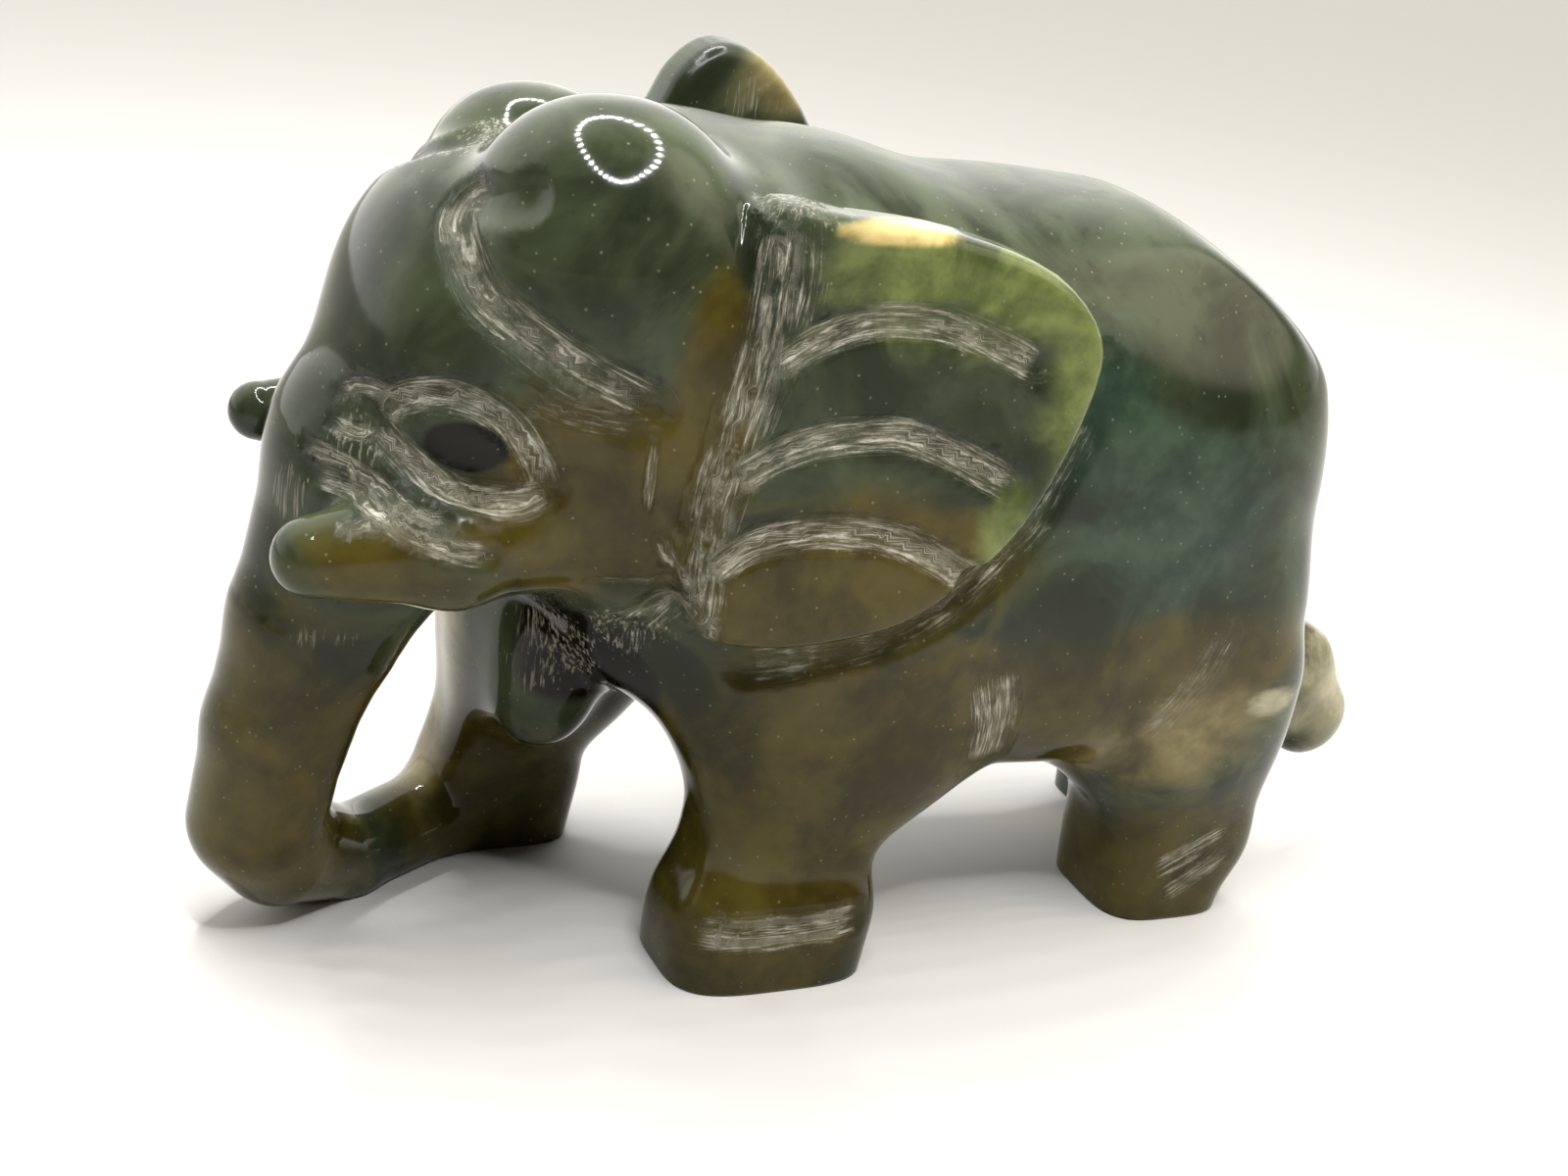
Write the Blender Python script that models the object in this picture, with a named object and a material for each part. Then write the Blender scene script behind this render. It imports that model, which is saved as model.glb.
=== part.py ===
"""Hardstone elephant carving: a walking elephant ground from one piece of polished green stone.

Metres, +Z up. The head looks along -X, the soles stand at Z = 0, and the origin is below the middle of the
carving. The stone is shaped as a carver would: rough masses are set together, ground to one flowing form,
given flat ground facets, cut with a small wheel, and ground flat under the feet.
"""
import math

import bmesh
import bpy
import numpy as np
from mathutils import Vector

# Driving sizes in metres
HEIGHT = 0.0387           # soles to the top of the near temple dome
WHEEL_WIDTH = 0.0020      # mark that the small grinding wheel leaves
WHEEL_DEPTH = 0.0003      # depth of an ordinary wheel mark
TARGET_FACES = 9400       # triangles of the finished solid

# The figure's pose and proportions are in shares of its height: 38.7 shares are the height
SHARE = HEIGHT / 38.7
ROUGH_GRAIN = 0.75        # voxel of the first rough body, in shares
FINE_GRAIN = 0.42         # voxel of the ground body, in shares
OUTSIDE = 14.0            # a distance from the middle plane that lies clear of the body, in shares

# Rounded masses of the body: centre, radii, squareness (2 is round), how softly each flows into the rest
BODY = {
    "barrel": ((2.6, 0.0, 22.3), (18.0, 9.9, 12.9), 2.7, 0.0),
    "rump": ((13.6, -0.2, 20.4), (9.9, 8.8, 13.0), 2.4, 3.0),
    "belly": ((6.0, 0.0, 15.2), (11.0, 9.3, 6.9), 3.0, 2.5),
    "withers": ((-6.5, 0.0, 27.4), (9.0, 8.6, 9.2), 2.3, 3.0),
    "chest": ((-9.0, 0.6, 18.0), (6.0, 7.2, 5.6), 2.4, 2.5),
    "breast": ((-13.6, 1.2, 13.4), (3.0, 3.4, 5.6), 2.2, 1.6),
    "near shoulder": ((-2.3, -5.6, 15.0), (7.0, 4.3, 7.6), 2.5, 2.6),
    "far shoulder": ((-11.2, 5.6, 14.5), (5.4, 4.0, 8.0), 2.5, 2.6),
    "near thigh": ((16.6, -4.4, 13.0), (5.8, 4.4, 7.6), 2.5, 2.6),
    "far thigh": ((17.6, 4.6, 13.6), (5.4, 4.2, 7.0), 2.5, 2.6),
}
HEAD = {
    "neck": ((-11.4, 0.0, 26.8), (5.4, 10.5, 9.9), 3.2, 2.0),
    "skull": ((-16.5, 0.0, 26.6), (8.1, 8.4, 9.3), 2.3, 2.0),
    "jaw": ((-17.3, 0.0, 22.0), (8.0, 8.0, 4.0), 2.4, 1.6),
    "near dome": ((-15.2, -4.8, 31.8), (5.9, 5.4, 6.9), 2.2, 1.2),
    "far dome": ((-15.5, 3.9, 32.2), (4.6, 4.1, 5.0), 2.2, 0.6),
}

# Round limbs: points of the middle line, radius at each, how flat it is across Y, how softly it flows in
LIMBS = {
    "trunk": (((-17.2, 0.0, 26.0), (-21.4, 0.0, 22.2), (-24.3, 0.0, 15.0), (-25.7, 0.0, 10.0),
               (-26.3, 0.1, 5.5)), (6.8, 5.4, 3.7, 3.1, 3.0), 1.0, 2.0),
    "trunk tip": (((-25.0, 1.0, 3.4), (-21.5, 3.2, 1.4), (-16.5, 6.2, 1.4)), (2.7, 2.1, 2.2), 1.0, 1.2),
    "near tusk": (((-15.0, -5.0, 21.4), (-21.0, -6.6, 21.2), (-26.3, -6.2, 20.5)), (2.5, 2.7, 1.65), 1.0, 0.8),
    "far tusk": (((-15.0, 5.0, 21.4), (-21.0, 6.7, 21.4), (-25.8, 6.2, 22.0)), (2.4, 2.4, 1.3), 1.0, 0.8),
    "tail": (((23.5, 0.0, 13.0), (27.4, 0.0, 9.4), (29.5, 0.0, 6.8)), (1.9, 2.6, 2.3), 0.62, 1.4),
}

# Legs: height, middle along X, middle along Y, half length along X, half width along Y at each level
LEGS = {
    "near fore leg": ((-2.0, -4.6, -6.1, 4.6, 3.4), (1.0, -4.6, -6.1, 4.9, 3.6), (3.0, -4.4, -6.1, 4.9, 3.5),
                      (5.4, -4.0, -5.8, 4.4, 3.0), (8.4, -2.8, -5.6, 5.3, 3.1), (14.0, -1.6, -5.2, 6.4, 3.6)),
    "far fore leg": ((-2.0, -13.3, 7.3, 3.6, 2.5), (1.0, -13.2, 7.3, 3.9, 2.7), (3.0, -13.1, 7.0, 3.9, 2.8),
                     (6.0, -12.9, 6.3, 3.6, 3.0), (10.0, -12.2, 5.6, 4.0, 3.3), (14.0, -11.5, 5.2, 4.8, 3.4)),
    "near hind leg": ((-2.0, 17.7, -4.0, 3.3, 3.4), (1.0, 17.8, -4.0, 3.6, 3.6), (3.0, 18.2, -4.0, 4.1, 3.7),
                      (6.0, 18.2, -4.0, 4.2, 3.7), (10.0, 17.8, -4.2, 4.6, 3.8), (14.0, 17.2, -4.2, 5.0, 3.9)),
    "far hind leg": ((-2.0, 22.2, 4.6, 3.2, 2.7), (1.0, 22.2, 4.6, 3.4, 2.8), (3.0, 22.2, 4.6, 3.5, 2.8),
                     (6.0, 22.0, 4.6, 3.4, 2.8), (10.0, 20.8, 4.6, 3.6, 3.1), (14.0, 18.8, 4.6, 4.4, 3.6)),
}
LEG_SQUARENESS = 3.6
LEG_BLEND = 2.2

# Ears: outline seen from the side, distance of the outer face from the middle, half thickness, lean, flare
EARS = {
    "near ear": (((-12.6, 20.0), (-9.6, 18.0), (-3.4, 18.6), (0.3, 20.9), (2.9, 24.0), (4.6, 28.5),
                  (4.6, 31.3), (2.2, 33.7), (-2.1, 35.1), (-7.0, 35.7), (-10.8, 35.5), (-11.6, 28.0)),
                 -9.6, 1.5, 0.06, 0.03),
    "far ear": (((-12.2, 21.0), (-8.0, 18.8), (-3.4, 19.4), (0.0, 22.0), (1.6, 26.0), (2.0, 31.0),
                 (0.4, 34.6), (-2.0, 37.3), (-4.6, 38.2), (-6.6, 37.0), (-8.0, 34.6), (-11.6, 30.0)),
                9.8, 1.5, -0.06, 0.10),
}
EAR_EDGE = 0.9

# Flat facets ground on the body: a point on the facet, the way it faces, how soft its edges are
FACETS = {
    "croup": ((16.2, 0.0, 32.1), (0.60, 0.0, 0.80), 1.2),
    "near back": ((2.0, -5.6, 34.8), (0.05, -0.62, 0.78), 1.0),
    "near loin": ((11.0, -8.0, 30.3), (0.17, -0.80, 0.56), 0.35),
    "far loin": ((11.0, 8.0, 30.3), (0.17, 0.80, 0.56), 0.35),
}

# Wheel grooves drawn in the side view: points of the line, width and depth in wheel marks, on both sides or not
GROOVES = {
    "dome": (((-19.6, 35.4), (-20.6, 34.8), (-21.2, 33.8), (-21.2, 32.5), (-20.6, 31.3), (-18.6, 30.0),
              (-16.6, 28.9), (-14.5, 27.9)), 1.35, 2.0, True),
    "brow": (((-18.9, 27.9), (-16.9, 27.2), (-14.8, 27.1)), 1.1, 0.9, True),
    "ear root": (((-10.4, 35.3), (-10.4, 33.5), (-10.6, 30.6), (-11.3, 27.0), (-12.1, 23.3), (-12.1, 19.6),
                  (-12.9, 17.0)), 1.45, 1.4, True),
    "upper lid": (((-23.9, 25.8), (-23.0, 26.9), (-21.4, 27.4), (-19.6, 26.7), (-18.4, 25.2), (-17.7, 23.9)),
                  1.0, 1.2, True),
    "lower lid": (((-23.9, 25.6), (-22.4, 24.2), (-20.5, 23.6), (-18.8, 23.4), (-17.7, 23.9)), 0.95, 1.2, True),
    "upper wrinkle": (((-26.0, 23.9), (-24.9, 23.8), (-23.3, 23.1), (-22.0, 22.9)), 0.55, 0.8, True),
    "lower wrinkle": (((-25.8, 22.9), (-24.5, 22.9), (-23.3, 22.4), (-21.7, 21.9), (-20.2, 21.6)), 0.75, 1.0, True),
    "upper ear": (((-10.0, 29.9), (-8.5, 30.9), (-6.5, 31.7), (-4.4, 31.9), (-2.2, 31.6), (1.6, 30.1)),
                  1.05, 1.2, True),
    "middle ear": (((-11.2, 25.3), (-9.6, 26.3), (-7.5, 27.0), (-5.4, 27.2), (-3.2, 27.0), (1.2, 25.0)),
                   1.05, 1.2, True),
    "lower ear": (((-12.0, 21.3), (-10.3, 22.5), (-8.3, 23.0), (-6.2, 23.1), (-3.4, 22.6), (0.6, 20.6)),
                  1.05, 1.2, True),
    "ear shadow": (((6.2, 29.2), (5.5, 26.7), (4.5, 24.5), (3.5, 22.3), (1.8, 20.4), (-0.4, 18.8), (-2.9, 17.6),
                    (-5.8, 16.8), (-8.5, 16.1)), 1.35, 1.6, True),
    "fore foot": (((-8.4, 3.0), (-1.4, 3.0)), 0.9, 0.7, False),
}


def smooth_run(at, knots):
    """Values of a smooth curve through the knots (position, value, value, ...) at the given positions."""
    knots = np.asarray(knots, float)
    where = knots[:, 0]
    values = knots[:, 1:]
    slope = np.gradient(values, where, axis=0)
    i = np.clip(np.searchsorted(where, at) - 1, 0, len(where) - 2)
    step = where[i + 1] - where[i]
    t = np.clip((at - where[i]) / step, 0.0, 1.0)[:, None]
    step = step[:, None]
    return ((2*t**3 - 3*t**2 + 1) * values[i] + (t**3 - 2*t**2 + t) * step * slope[i]
            + (3*t**2 - 2*t**3) * values[i + 1] + (t**3 - t**2) * step * slope[i + 1])


def blend(a, b, soft):
    """Join two forms with a soft fillet."""
    if soft == 0.0:
        return np.minimum(a, b)
    near = np.maximum(soft - np.abs(a - b), 0.0) / soft
    return np.minimum(a, b) - near**2 * soft / 4.0


def shave(a, b, soft):
    """Keep what is inside both forms, with a soft edge."""
    return -blend(-a, -b, soft)


def mass_form(p, centre, radii, squareness):
    """A rounded mass, near its skin as a distance."""
    q = np.abs((p - centre) / np.array(radii)) + 1e-6
    k = (q**squareness).sum(1) ** (1.0 / squareness)
    slope = q ** (squareness - 1.0) * k[:, None] ** (1.0 - squareness) / radii
    return (k - 1.0) / np.sqrt((slope**2).sum(1))


def limb_form(p, path, radii, flat):
    """A round limb that tapers along its path."""
    stretch = np.array((1.0, 1.0 / flat, 1.0))
    q = p * stretch
    path = np.array(path) * stretch
    form = np.full(len(p), 1e3)
    for a, b, r, s in zip(path[:-1], path[1:], radii[:-1], radii[1:]):
        t = np.clip((q - a) @ (b - a) / ((b - a) @ (b - a)), 0.0, 1.0)
        gap = np.sqrt(((q - a - t[:, None] * (b - a)) ** 2).sum(1)) - r - t * (s - r)
        form = blend(form, gap * flat, 0.6)
    return form


def leg_form(p, levels):
    """A squared leg, drawn through its levels."""
    x, y, length, width = smooth_run(p[:, 2], levels).T
    k = (np.abs((p[:, 0] - x) / length) ** LEG_SQUARENESS
         + np.abs((p[:, 1] - y) / width) ** LEG_SQUARENESS) ** (1.0 / LEG_SQUARENESS)
    side = (k - 1.0) * np.minimum(length, width)
    return shave(side, p[:, 2] - levels[-1][0], 2.0)


def smooth_line(points, closed, steps=4):
    """A smooth line through the points."""
    points = np.array(points)
    last = len(points) - 1
    curve = []
    for i in range(last + closed):
        around = [(i + j) % (last + 1) if closed else min(max(i + j, 0), last) for j in (-1, 0, 1, 2)]
        a, b, c, d = points[around]
        for t in np.arange(steps) / steps:
            curve.append(0.5 * (2*b + (c - a)*t + (2*a - 5*b + 4*c - d)*t**2 + (3*b - 3*c + d - a)*t**3))
    return np.array(curve if closed else [*curve, points[last]])


def outline_distance(q, outline):
    """Distance to a closed line in the side view, below zero inside it."""
    gap = np.full(len(q), 1e6)
    inside = np.zeros(len(q), bool)
    for a, b in zip(outline, np.roll(outline, -1, axis=0)):
        t = np.clip((q - a) @ (b - a) / ((b - a) @ (b - a)), 0.0, 1.0)
        gap = np.minimum(gap, ((q - a - t[:, None] * (b - a)) ** 2).sum(1))
        crosses = (a[1] > q[:, 1]) != (b[1] > q[:, 1])
        at = a[0] + (q[:, 1] - a[1]) * (b[0] - a[0]) / (b[1] - a[1] if b[1] != a[1] else 1e-9)
        inside ^= crosses & (q[:, 0] < at)
    gap = np.sqrt(gap)
    return np.where(inside, -gap, gap)


def ear_middle(x, z, face, lean, flare):
    """Distance from the carving's middle plane to the middle of the ear's thickness."""
    return face + math.copysign(1.0, face) * (flare * (x + 11.0) - lean * (z - 28.0))


def ear_form(p, outline, face, half, lean, flare):
    """A flat ear with a rounded edge, standing out from the head."""
    edge = outline_distance(p[:, [0, 2]], smooth_line(outline, True))
    flat = np.abs(p[:, 1] - ear_middle(p[:, 0], p[:, 2], face, lean, flare)) - half
    return shave(edge, flat, EAR_EDGE)


def bare_form(p):
    """The carving before the wheel grooves are cut: below zero inside the stone, in shares of the height."""
    form = np.full(len(p), 1e3)
    for mass in BODY.values():
        form = blend(form, mass_form(p, *mass[:3]), mass[3])
    for point, way, soft in FACETS.values():
        form = shave(form, (p - point) @ way / np.linalg.norm(way), soft)
    for mass in HEAD.values():
        form = blend(form, mass_form(p, *mass[:3]), mass[3])
    for levels in LEGS.values():
        form = blend(form, leg_form(p, levels), LEG_BLEND)
    for path, radii, flat, soft in LIMBS.values():
        form = blend(form, limb_form(p, path, radii, flat), soft)
    for outline, face, half, lean, flare in EARS.values():
        form = blend(form, ear_form(p, outline, face, half, lean, flare), 0.5)
    return form


def laid_line(points, side):
    """A line drawn in the side view, laid on the near (-1) or the far (1) skin of the carving."""
    line = smooth_line(points, False)
    depths = side * np.arange(OUTSIDE, 0.0, -0.25)
    p = np.array([(x, y, z) for x, z in line for y in depths])
    form = bare_form(p).reshape(len(line), len(depths))
    first = np.maximum((form < 0.0).argmax(1), 1)
    row = np.arange(len(line))
    before = form[row, first - 1]
    after = form[row, first]
    y = depths[first - 1] + (depths[first] - depths[first - 1]) * before / (before - after)
    return np.column_stack([line[:, 0], y, line[:, 1]])


def laid_grooves(grooves):
    """Every groove's line on the skin, with its width and depth."""
    return [(laid_line(points, side), width, depth)
            for points, width, depth, both in grooves.values()
            for side in ((-1, 1) if both else (-1,))]


LAID = laid_grooves(GROOVES)


def wheel_cut(p, line, width, depth):
    """Depth of one wheel groove at each point."""
    reach = width * WHEEL_WIDTH / SHARE / 2.0
    cut = np.zeros(len(p))
    near = ((p > line.min(0) - reach) & (p < line.max(0) + reach)).all(1)
    q = p[near]
    gap = np.full(len(q), reach**2)
    for a, b in zip(line[:-1], line[1:]):
        t = np.clip((q - a) @ (b - a) / ((b - a) @ (b - a)), 0.0, 1.0)
        gap = np.minimum(gap, ((q - a - t[:, None] * (b - a)) ** 2).sum(1))
    cut[near] = depth * WHEEL_DEPTH / SHARE * (1.0 - gap / reach**2) ** 2
    return cut


def stone_form(p):
    """The whole carving with its grooves: below zero inside the stone, in shares of the height."""
    cut = np.zeros(len(p))
    for groove in LAID:
        cut = np.maximum(cut, wheel_cut(p, *groove))
    return bare_form(p) + cut


def grind(points, passes):
    """Bring points onto the finished form, a little at a time."""
    step = 0.02
    for _ in range(passes):
        here = stone_form(points)
        slope = np.stack([stone_form(points + step * axis) - here for axis in np.eye(3)], 1) / step
        size = np.maximum((slope**2).sum(1), 0.05)
        move = np.clip(here / np.sqrt(size), -0.5, 0.5) / np.sqrt(size)
        points = points - slope * move[:, None]
    return points


def add_ball(bm, centre, radii, squareness):
    made = bmesh.ops.create_icosphere(bm, subdivisions=3, radius=1.0)
    for vertex in made["verts"]:
        way = np.abs(np.array(vertex.co))
        out = 1.0 / (way**squareness).sum() ** (1.0 / squareness)
        vertex.co = [c + r * v * out for c, r, v in zip(centre, radii, vertex.co)]


def add_limb(bm, path, radii, flat):
    for a, b, r, s in zip(path[:-1], path[1:], radii[:-1], radii[1:]):
        for t in np.linspace(0.0, 1.0, 7):
            middle = Vector(a).lerp(Vector(b), t)
            size = r + t * (s - r)
            add_ball(bm, middle, (size, size * flat, size), 2.0)


def add_leg(bm, levels):
    for height in np.arange(levels[0][0], levels[-1][0], 1.0):
        x, y, length, width = smooth_run(np.array([height]), levels)[0]
        add_ball(bm, (x, y, height), (length, width, 1.6), LEG_SQUARENESS)


def add_ear(bm, outline, face, half, lean, flare):
    curve = smooth_line(outline, True)
    rims = []
    for side in (-half, half):
        ring = [bm.verts.new((x, ear_middle(x, z, face, lean, flare) + side, z)) for x, z in curve]
        rims.append(ring)
    bm.faces.new(rims[0])
    bm.faces.new(rims[1][::-1])
    for i in range(len(curve)):
        j = (i + 1) % len(curve)
        bm.faces.new((rims[0][j], rims[0][i], rims[1][i], rims[1][j]))


def rough_body():
    """The masses set together before they are ground to one form."""
    bm = bmesh.new()
    for centre, radii, squareness, _ in [*BODY.values(), *HEAD.values()]:
        add_ball(bm, centre, radii, squareness)
    for levels in LEGS.values():
        add_leg(bm, levels)
    for path, radii, flat, _ in LIMBS.values():
        add_limb(bm, path, radii, flat)
    for ear in EARS.values():
        add_ear(bm, *ear)
    bmesh.ops.recalc_face_normals(bm, faces=bm.faces)
    mesh = bpy.data.meshes.new("elephant")
    bm.to_mesh(mesh)
    bm.free()
    return mesh


def apply_modifier(thing, kind, **settings):
    modifier = thing.modifiers.new(kind.title(), kind)
    for name, value in settings.items():
        setattr(modifier, name, value)
    shaped = bpy.data.meshes.new_from_object(thing.evaluated_get(bpy.context.evaluated_depsgraph_get()))
    thing.modifiers.clear()
    thing.data = shaped


def grind_mesh(mesh, passes):
    flat = np.empty(len(mesh.vertices) * 3)
    mesh.vertices.foreach_get("co", flat)
    mesh.vertices.foreach_set("co", grind(flat.reshape(-1, 3), passes).ravel())
    mesh.update()


def grind_soles(mesh):
    """Cut everything below the ground level off, which leaves a flat sole under each foot."""
    bm = bmesh.new()
    bm.from_mesh(mesh)
    everything = bm.verts[:] + bm.edges[:] + bm.faces[:]
    cut = bmesh.ops.bisect_plane(bm, geom=everything, dist=1e-5, plane_co=(0, 0, 0), plane_no=(0, 0, -1),
                                 clear_outer=True)
    edges = [part for part in cut["geom_cut"] if isinstance(part, bmesh.types.BMEdge)]
    bmesh.ops.edgeloop_fill(bm, edges=edges)
    bmesh.ops.recalc_face_normals(bm, faces=bm.faces)
    bmesh.ops.triangulate(bm, faces=bm.faces)
    bm.to_mesh(mesh)
    bm.free()


def stone_material():
    stone = bpy.data.materials.new("polished green stone")
    stone.use_nodes = True
    shader = stone.node_tree.nodes["Principled BSDF"]
    shader.inputs["Base Color"].default_value = (0.075, 0.095, 0.052, 1.0)
    shader.inputs["Roughness"].default_value = 0.16
    shader.inputs["Metallic"].default_value = 0.0
    return stone


def make_elephant():
    elephant = bpy.data.objects.new("elephant", rough_body())
    bpy.context.scene.collection.objects.link(elephant)
    apply_modifier(elephant, "REMESH", mode="VOXEL", voxel_size=ROUGH_GRAIN)
    grind_mesh(elephant.data, 8)
    apply_modifier(elephant, "REMESH", mode="VOXEL", voxel_size=FINE_GRAIN)
    grind_mesh(elephant.data, 4)
    share = 2.0 * len(elephant.data.polygons)
    apply_modifier(elephant, "DECIMATE", ratio=TARGET_FACES / share)
    grind_mesh(elephant.data, 1)
    grind_soles(elephant.data)
    corners = np.array([vertex.co for vertex in elephant.data.vertices])
    middle = (corners.max(0) + corners.min(0)) / 2.0
    for vertex in elephant.data.vertices:
        vertex.co = (vertex.co - Vector((middle[0], middle[1], 0.0))) * SHARE
    elephant.data.shade_smooth()
    elephant.data.materials.append(stone_material())


for old in list(bpy.data.objects):
    bpy.data.objects.remove(old)
make_elephant()
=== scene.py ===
import math

import bpy
import numpy as np
from mathutils import Matrix, Vector


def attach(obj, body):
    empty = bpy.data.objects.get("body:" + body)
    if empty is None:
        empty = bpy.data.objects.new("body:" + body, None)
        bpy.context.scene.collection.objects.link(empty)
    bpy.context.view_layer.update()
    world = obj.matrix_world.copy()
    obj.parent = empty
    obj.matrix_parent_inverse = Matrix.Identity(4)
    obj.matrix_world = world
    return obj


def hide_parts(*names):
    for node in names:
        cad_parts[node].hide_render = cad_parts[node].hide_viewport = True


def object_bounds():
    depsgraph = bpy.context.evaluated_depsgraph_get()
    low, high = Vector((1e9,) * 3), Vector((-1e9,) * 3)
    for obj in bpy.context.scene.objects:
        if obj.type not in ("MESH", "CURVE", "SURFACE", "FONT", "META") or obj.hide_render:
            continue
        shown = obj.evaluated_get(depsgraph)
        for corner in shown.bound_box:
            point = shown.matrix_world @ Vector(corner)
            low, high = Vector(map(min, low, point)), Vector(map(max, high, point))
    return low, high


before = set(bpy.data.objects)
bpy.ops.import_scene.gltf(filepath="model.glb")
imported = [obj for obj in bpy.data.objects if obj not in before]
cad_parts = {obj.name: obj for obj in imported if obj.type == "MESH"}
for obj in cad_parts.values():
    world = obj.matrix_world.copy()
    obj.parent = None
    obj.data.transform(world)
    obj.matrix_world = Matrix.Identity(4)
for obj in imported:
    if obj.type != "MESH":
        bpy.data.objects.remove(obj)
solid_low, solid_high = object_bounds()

# The camera stands a hand's breadth from the carving, in front of its near side and above it, held a little
# askew. Places are in millimetres from the middle of the carving's base.
MM = 0.001
CAMERA_PLACE = (-49.7, -89.4, 57.0)
CAMERA_TURN = 27.3        # degrees towards the tail from looking straight at the near side
CAMERA_DIP = 22.56        # degrees below the horizon
CAMERA_ROLL = 8.78        # degrees, anticlockwise as the camera is held
LENS = 54.0               # mm on a 36 mm sensor

camera = bpy.data.objects.new("camera", bpy.data.cameras.new("camera"))
bpy.context.scene.collection.objects.link(camera)
camera.data.sensor_width = 36.0
camera.data.lens = LENS
camera.data.clip_start = MM
camera.matrix_world = (Matrix.Translation(Vector(CAMERA_PLACE) * MM)
                       @ Matrix.Rotation(math.radians(-CAMERA_TURN), 4, "Z")
                       @ Matrix.Rotation(math.radians(90.0 - CAMERA_DIP), 4, "X")
                       @ Matrix.Rotation(math.radians(CAMERA_ROLL), 4, "Z"))
bpy.context.scene.camera = camera

# The elephant: one pebble of green hardstone, roughed out with a saw, ground to flowing masses and flat
# facets on a lap, cut with a small diamond wheel for the eyes, ears and folds, and tumbled to a high polish
# that leaves the wheel marks frosted.
SHARES_TALL = 38.67       # the figure is drawn in shares, this many to its height
SHARE = (solid_high.z - solid_low.z) / SHARES_TALL
MIDDLE = (1.248, 0.459)   # middle of the base in the drawing, in shares
GRAIN = 0.29              # voxel of the fine surface, in shares
GRINDS = 5                # times that the fine surface is brought nearer to the finished form

# Rounded masses of body and head: centre, radii, squareness (2 is round), how softly each flows into the rest
BODY = {
    "barrel": ((2.6, 0.0, 22.3), (18.0, 9.9, 12.9), 2.7, 0.0),
    "rump": ((13.6, -0.2, 20.4), (9.9, 8.8, 13.0), 2.4, 3.0),
    "belly": ((6.0, 0.0, 15.2), (11.0, 9.3, 6.9), 3.0, 2.5),
    "withers": ((-6.5, 0.0, 27.4), (9.0, 8.6, 9.2), 2.3, 3.0),
    "chest": ((-9.0, 0.6, 18.0), (6.0, 7.2, 5.6), 2.4, 2.5),
    "breast": ((-13.6, 1.2, 13.4), (3.0, 3.4, 5.6), 2.2, 1.6),
    "near shoulder": ((-2.3, -5.6, 15.0), (7.0, 4.3, 7.6), 2.5, 2.6),
    "far shoulder": ((-11.2, 5.6, 14.5), (5.4, 4.0, 8.0), 2.5, 2.6),
    "near thigh": ((16.6, -4.4, 13.0), (5.8, 4.4, 7.6), 2.5, 2.6),
    "far thigh": ((17.6, 4.6, 13.6), (5.4, 4.2, 7.0), 2.5, 2.6),
}
HEAD = {
    "neck": ((-11.4, 0.0, 26.8), (5.4, 10.5, 9.9), 3.2, 2.0),
    "skull": ((-16.5, 0.0, 26.6), (8.1, 8.4, 9.3), 2.3, 2.0),
    "jaw": ((-17.3, 0.0, 22.0), (8.0, 8.0, 4.0), 2.4, 1.6),
    "near dome": ((-15.2, -4.8, 31.8), (5.9, 5.4, 6.9), 2.2, 1.2),
    "far dome": ((-15.5, 3.9, 32.2), (4.6, 4.1, 5.0), 2.2, 0.6),
}

# Round limbs: points of the middle line, radius at each, how flat it is across Y, how softly it flows in
LIMB_BEND = 0.6           # shares, how softly one stretch of a limb runs into the next
LIMBS = {
    "trunk": (((-17.2, 0.0, 26.0), (-21.4, 0.0, 22.2), (-24.3, 0.0, 15.0), (-25.7, 0.0, 10.0),
               (-26.3, 0.1, 5.5)), (6.8, 5.4, 3.7, 3.1, 3.0), 1.0, 2.0),
    "trunk tip": (((-25.0, 1.0, 3.4), (-21.5, 3.2, 1.4), (-16.5, 6.2, 1.4)), (2.7, 2.1, 2.2), 1.0, 1.2),
    "near tusk": (((-15.0, -5.0, 21.4), (-21.0, -6.6, 21.2), (-26.3, -6.2, 20.5)), (2.5, 2.7, 1.65), 1.0, 0.8),
    "far tusk": (((-15.0, 5.0, 21.4), (-21.0, 6.7, 21.4), (-25.8, 6.2, 22.0)), (2.4, 2.4, 1.3), 1.0, 0.8),
    "tail": (((23.5, 0.0, 13.0), (27.4, 0.0, 9.4), (29.5, 0.0, 6.8)), (1.9, 2.6, 2.3), 0.62, 1.4),
}

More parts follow.
